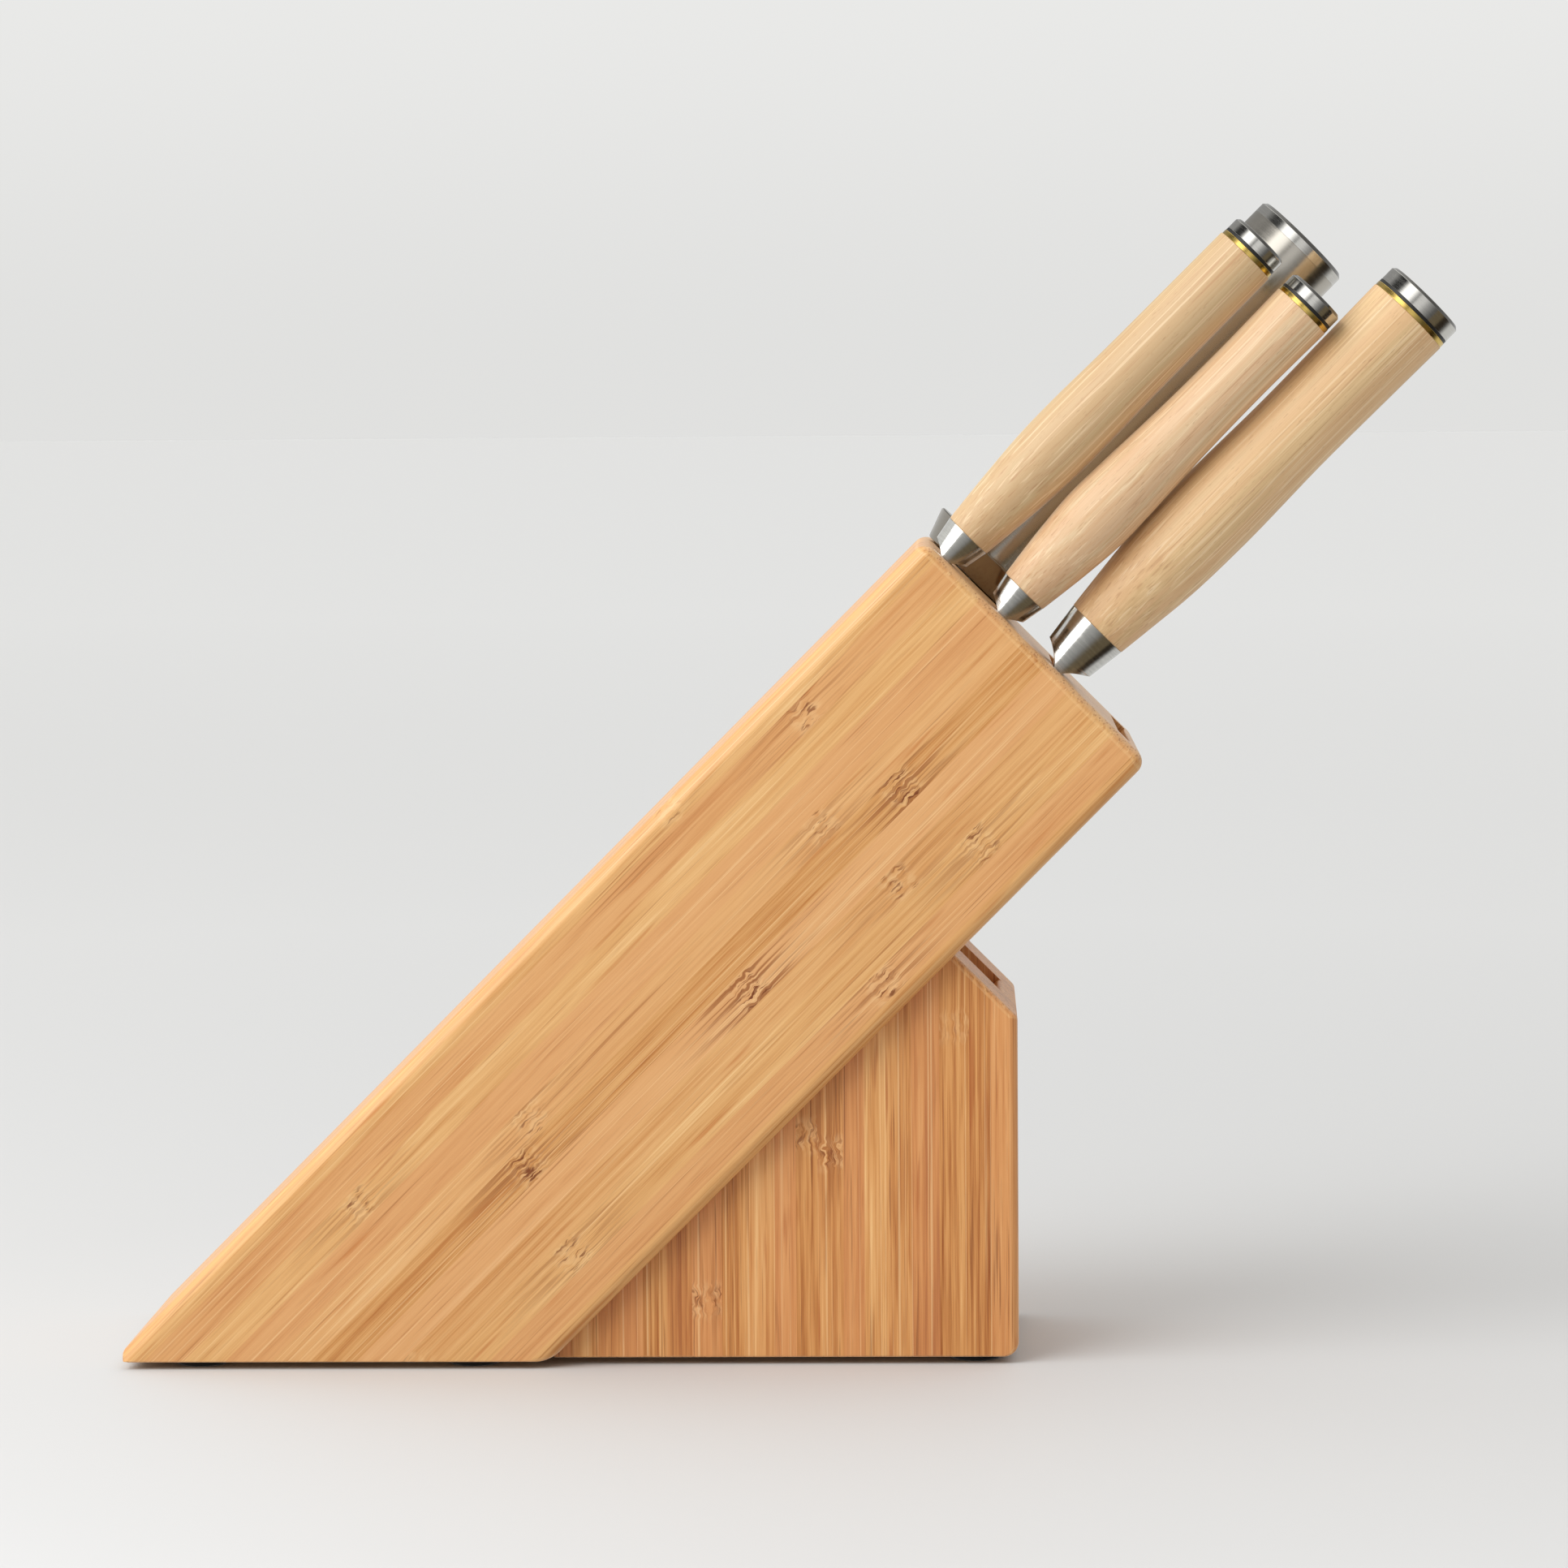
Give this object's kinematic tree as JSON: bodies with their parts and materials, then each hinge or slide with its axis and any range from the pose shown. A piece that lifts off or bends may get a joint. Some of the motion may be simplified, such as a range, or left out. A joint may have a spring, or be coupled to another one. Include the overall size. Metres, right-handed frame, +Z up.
{
  "type": "knife block with knives",
  "caption": "Bamboo block leaning at 45 degrees on a smaller prop block with a shears pocket, holding wooden-handled knives and a honing steel that draw out.",
  "frame": {"origin": "on the surface the block stands on, under the centre of the whole object's bounding box", "axes": "+Z up, +X towards the side the block leans to, +Y from the front panel towards the rear panel"},
  "size_m": [0.3712, 0.1, 0.3218],
  "materials": {
    "block_bamboo": "satin",
    "prop_bamboo": "satin",
    "handle_wood": "smooth matte",
    "bolster_steel": "fine brushed",
    "cap_steel": "polished",
    "shell_steel": "satin brushed",
    "blade_steel": "satin ground",
    "rod_steel": "fine grooved",
    "brass": "polished",
    "black_spacer": "matte",
    "rubber": "matte"
  },
  "bodies": {
    "block": {"block_front_panel": "block_bamboo", "block_rear_panel": "block_bamboo", "block_upper_wall": "block_bamboo", "block_partition_1_front": "block_bamboo", "block_partition_1_rear": "block_bamboo", "steel_channel_upper": "block_bamboo", "steel_channel_lower": "block_bamboo", "block_partition_2": "block_bamboo", "block_partition_3": "block_bamboo", "block_lower_wall": "block_bamboo", "slot_1_filler": "block_bamboo", "slot_2_filler": "block_bamboo", "prop_front_board": "prop_bamboo", "prop_middle_board": "prop_bamboo", "prop_rear_board": "prop_bamboo", "foot_toe_front": "rubber", "foot_toe_rear": "rubber", "foot_heel_front": "rubber", "foot_heel_rear": "rubber", "foot_prop_front": "rubber", "foot_prop_rear": "rubber"},
    "paring_knife": {"paring_blade": "blade_steel", "paring_bolster": "bolster_steel", "paring_handle": "handle_wood", "paring_brass_ring": "brass", "paring_black_ring": "black_spacer", "paring_end_cap": "cap_steel"},
    "utility_knife": {"utility_blade": "blade_steel", "utility_bolster": "bolster_steel", "utility_handle": "handle_wood", "utility_brass_ring": "brass", "utility_black_ring": "black_spacer", "utility_end_cap": "cap_steel"},
    "chef_knife": {"chef_blade": "blade_steel", "chef_bolster": "bolster_steel", "chef_handle": "handle_wood", "chef_brass_ring": "brass", "chef_black_ring": "black_spacer", "chef_end_cap": "cap_steel"},
    "honing_steel": {"steel_rod": "rod_steel", "steel_guard": "shell_steel", "steel_handle_tube": "shell_steel", "steel_end_cap": "shell_steel"}
  },
  "joints": [
    {"name": "paring_knife_draw", "type": "slide", "parent": "block", "child": "paring_knife", "axis": [0.7071, 0, 0.7071], "range_m": [0, 0.105]},
    {"name": "utility_knife_draw", "type": "slide", "parent": "block", "child": "utility_knife", "axis": [0.7071, 0, 0.7071], "range_m": [0, 0.14]},
    {"name": "chef_knife_draw", "type": "slide", "parent": "block", "child": "chef_knife", "axis": [0.7071, 0, 0.7071], "range_m": [0, 0.22]},
    {"name": "honing_steel_draw", "type": "slide", "parent": "block", "child": "honing_steel", "axis": [0.7071, 0, 0.7071], "range_m": [0, 0.215]}
  ]
}
